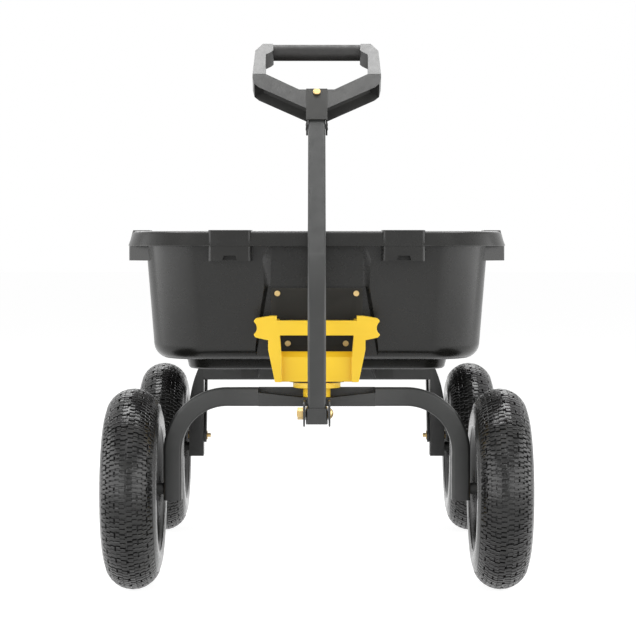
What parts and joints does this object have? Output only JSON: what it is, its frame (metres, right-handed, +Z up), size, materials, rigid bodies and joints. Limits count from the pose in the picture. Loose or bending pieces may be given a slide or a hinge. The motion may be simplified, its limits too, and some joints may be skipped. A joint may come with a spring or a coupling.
{
  "type": "tipping garden cart",
  "caption": "Garden dump cart: black moulded tub that tips on a steel frame, steered front axle, pneumatic wheels, bent pull handle with D grip and a yellow release lever.",
  "frame": {"origin": "middle of the bounding box's underside, on the ground between the wheels", "axes": "+Z up, -Y towards the handle, +X to the right of a person who stands at the handle and looks at the cart"},
  "size_m": [0.694, 1.1629, 0.9157],
  "materials": {
    "frame_paint": "satin powder coat",
    "rim_paint": "satin",
    "yellow_paint": "satin",
    "zinc_hardware": "yellow zinc plate",
    "bare_steel": "turned",
    "tub_poly": "fine moulded grain",
    "grip_plastic": "satin",
    "bar_rubber": "matt",
    "pad_rubber": "matt",
    "tyre_rubber": "matt tread, smoother side walls"
  },
  "bodies": {
    "chassis": {"backbone": "frame_paint", "head_plate": "frame_paint", "steering_head": "yellow_paint", "king_pin": "bare_steel", "king_pin_washer": "zinc_hardware", "king_pin_nut": "zinc_hardware", "latch_catch": "frame_paint", "front_rest": "pad_rubber", "rear_crossbar": "frame_paint", "rear_leg_left": "frame_paint", "rear_leg_right": "frame_paint", "rear_stub_axles": "frame_paint", "rear_axle_washers": "zinc_hardware", "rear_axle_nuts": "zinc_hardware", "pivot_bolts": "zinc_hardware", "bump_pads": "pad_rubber"},
    "front_axle": {"axle_tube_left": "frame_paint", "axle_tube_right": "frame_paint", "steering_saddle": "frame_paint", "tongue_plates": "frame_paint", "tongue_bolt": "zinc_hardware", "tongue_nut": "zinc_hardware", "tongue_spacers": "bare_steel", "front_stub_axles": "frame_paint", "front_axle_washers": "zinc_hardware", "front_axle_nuts": "zinc_hardware"},
    "pull_handle": {"handle_tube_bent": "frame_paint", "handle_foot": "frame_paint"},
    "grip": {"grip_knuckle": "frame_paint", "grip_frame": "grip_plastic", "hand_bar": "bar_rubber", "grip_rivet": "bare_steel"},
    "hitch_pin": {"hitch_pin": "zinc_hardware"},
    "tub": {"tub": "tub_poly", "front_plate": "frame_paint", "plate_bolts": "zinc_hardware", "plate_nuts": "zinc_hardware", "latch_pin": "bare_steel", "floor_rails": "frame_paint", "rail_bolts": "zinc_hardware", "tip_crossbar": "frame_paint", "tip_arms": "frame_paint"},
    "latch": {"release_lever": "yellow_paint"},
    "wheel_front_left": {"tyre_front_left": "tyre_rubber", "rim_front_left": "rim_paint", "bearings_front_left": "zinc_hardware", "valve_front_left": "pad_rubber"},
    "wheel_front_right": {"tyre_front_right": "tyre_rubber", "rim_front_right": "rim_paint", "bearings_front_right": "zinc_hardware", "valve_front_right": "pad_rubber"},
    "wheel_rear_left": {"tyre_rear_left": "tyre_rubber", "rim_rear_left": "rim_paint", "bearings_rear_left": "zinc_hardware", "valve_rear_left": "pad_rubber"},
    "wheel_rear_right": {"tyre_rear_right": "tyre_rubber", "rim_rear_right": "rim_paint", "bearings_rear_right": "zinc_hardware", "valve_rear_right": "pad_rubber"}
  },
  "joints": [
    {"name": "steer", "type": "hinge", "parent": "chassis", "child": "front_axle", "pos_m": [0, -0.4165, 0.332], "axis": [0, 0, 1], "range_deg": [-35, 35]},
    {"name": "handle_fold", "type": "hinge", "parent": "front_axle", "child": "pull_handle", "pos_m": [0, -0.5585, 0.301], "axis": [1, 0, 0], "range_deg": [0, 135]},
    {"name": "grip_fold", "type": "hinge", "parent": "pull_handle", "child": "grip", "pos_m": [0, -0.32787, 0.76415], "axis": [-1, 0, 0], "range_deg": [0, 135]},
    {"name": "hitch_pin_slide", "type": "slide", "parent": "grip", "child": "hitch_pin", "axis": [0, -0.766, 0.6428], "range_m": [0, 0.045]},
    {"name": "tub_dump", "type": "hinge", "parent": "chassis", "child": "tub", "pos_m": [0, 0.2835, 0.187], "axis": [-1, 0, 0], "range_deg": [0, 70]},
    {"name": "latch_release", "type": "hinge", "parent": "tub", "child": "latch", "pos_m": [0, -0.4115, 0.4317], "axis": [-1, 0, 0], "range_deg": [0, 25]},
    {"name": "wheel_front_left_spin", "type": "hinge", "parent": "front_axle", "child": "wheel_front_left", "pos_m": [0, -0.4165, 0.165], "axis": [1, 0, 0], "continuous": true},
    {"name": "wheel_front_right_spin", "type": "hinge", "parent": "front_axle", "child": "wheel_front_right", "pos_m": [0, -0.4165, 0.165], "axis": [1, 0, 0], "continuous": true},
    {"name": "wheel_rear_left_spin", "type": "hinge", "parent": "chassis", "child": "wheel_rear_left", "pos_m": [0, 0.2835, 0.165], "axis": [1, 0, 0], "continuous": true},
    {"name": "wheel_rear_right_spin", "type": "hinge", "parent": "chassis", "child": "wheel_rear_right", "pos_m": [0, 0.2835, 0.165], "axis": [1, 0, 0], "continuous": true}
  ]
}
